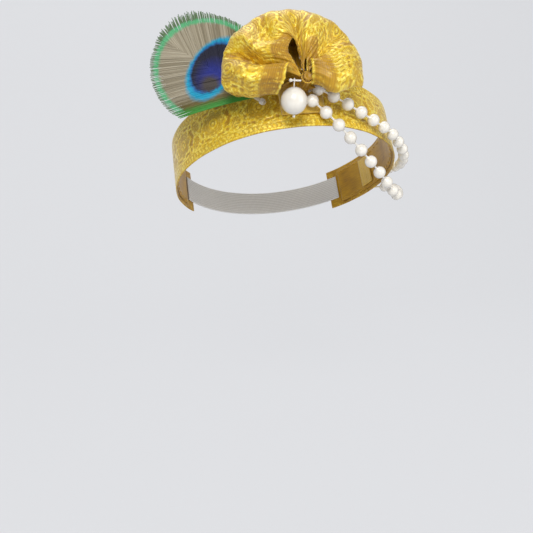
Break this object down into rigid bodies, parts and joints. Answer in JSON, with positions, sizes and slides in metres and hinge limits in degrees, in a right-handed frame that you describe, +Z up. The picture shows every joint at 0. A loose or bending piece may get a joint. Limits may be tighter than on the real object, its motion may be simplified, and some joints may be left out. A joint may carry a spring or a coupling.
{
  "type": "fascinator headpiece",
  "caption": "Baby's gold brocade headband with a gathered ribbon rosette, a trimmed feather eye, one large drop pearl and two pearl swags.",
  "frame": {"origin": "middle of the head opening, at the centre of the head that wears it", "axes": "+Z up as worn, front of the band toward -Y, wearer's left toward +X"},
  "size_m": [0.1499, 0.1345, 0.1048],
  "materials": {
    "gold_brocade": "woven jacquard ribbon, satin ground with raised metallic-yellow figures",
    "gold_satin": "plain satin lining ribbon",
    "white_elastic": "ribbed woven elastic",
    "gold_felt": "pressed felt",
    "gold_thread": "twisted polyester sewing thread",
    "white_thread": "twisted polyester sewing thread",
    "feather_barbs": "iridescent barbs, natural keratin",
    "feather_shaft": "bare keratin quill",
    "pearl_lacquer": "pearl lacquer on a moulded plastic bead",
    "pearl_string": "moulded plastic link between beads"
  },
  "bodies": {
    "root": {"front_band": "gold_brocade", "band_lining": "gold_satin", "back_elastic": "white_elastic", "rosette_base_felt": "gold_felt", "inner_felt_patch": "gold_felt", "rear_knot_felt": "gold_felt", "left_bar_tack": "gold_thread", "right_bar_tack": "gold_thread", "lower_lining_stitches": "gold_thread", "upper_lining_stitches": "gold_thread", "base_felt_stitches": "gold_thread", "rosette_ribbon": "gold_brocade", "gather_thread": "gold_thread", "feather_vane": "feather_barbs", "feather_quill": "feather_shaft", "quill_wraps": "white_thread", "pearl_hanger": "white_thread"},
    "large_pearl_drop": {"large_pearl": "pearl_lacquer", "pearl_loop": "white_thread"},
    "upper_strand": {"upper_strand_thread": "pearl_string", "upper_strand_pearls": "pearl_lacquer", "upper_strand_knots": "pearl_string"},
    "lower_strand": {"lower_strand_thread": "pearl_string", "lower_strand_pearls": "pearl_lacquer", "lower_strand_knots": "pearl_string"}
  },
  "joints": [
    {"name": "large_pearl_swing", "type": "hinge", "parent": "root", "child": "large_pearl_drop", "pos_m": [-0.01923, -0.06363, 0.04481], "axis": [-0.9877, 0.1564, 0], "range_deg": [-8, 30]},
    {"name": "upper_strand_lift", "type": "hinge", "parent": "root", "child": "upper_strand", "pos_m": [-0.0074, -0.0529, 0.0427], "axis": [-0.6929, -0.6306, 0.3498], "range_deg": [0, 14]},
    {"name": "lower_strand_lift", "type": "hinge", "parent": "root", "child": "lower_strand", "pos_m": [-0.0104, -0.0543, 0.0393], "axis": [-0.6913, -0.6036, 0.3972], "range_deg": [0, 5]}
  ]
}
